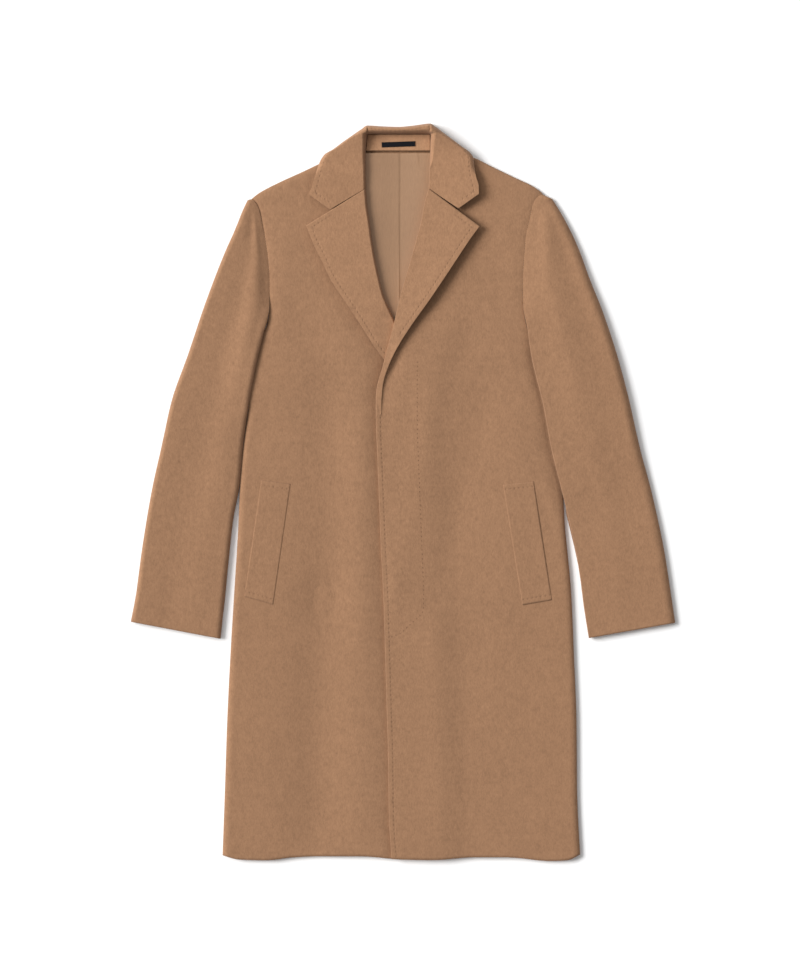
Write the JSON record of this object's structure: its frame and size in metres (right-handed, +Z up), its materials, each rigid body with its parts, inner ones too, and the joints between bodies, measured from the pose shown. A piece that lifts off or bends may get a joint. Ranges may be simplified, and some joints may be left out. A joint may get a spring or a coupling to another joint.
{
  "type": "wool overcoat",
  "caption": "Single-breasted camel wool overcoat with notch lapels, hidden button front and slanted welt pockets, laid flat on its back.",
  "frame": {"origin": "middle of the coat's outline as it lies, on the surface under it", "axes": "+Z up from the surface, +Y along the coat from hem to collar, +X towards the wearer's left side"},
  "size_m": [0.816, 1.1054, 0.028],
  "materials": {
    "wool": "matte brushed wool melton, camel",
    "lining": "smooth satin lining, camel",
    "label": "plain woven tape, near black, bare"
  },
  "bodies": {
    "root": {"back": "wool", "front_right": "wool", "front_left": "wool", "top_sleeve_right": "wool", "top_sleeve_left": "wool", "under_sleeve_right": "wool", "under_sleeve_left": "wool", "lapel_right": "wool", "lapel_left": "wool", "collar": "wool", "back_lining": "lining", "neck_facing": "wool", "label": "label", "welt_right": "wool", "welt_left": "wool"}
  },
  "joints": []
}
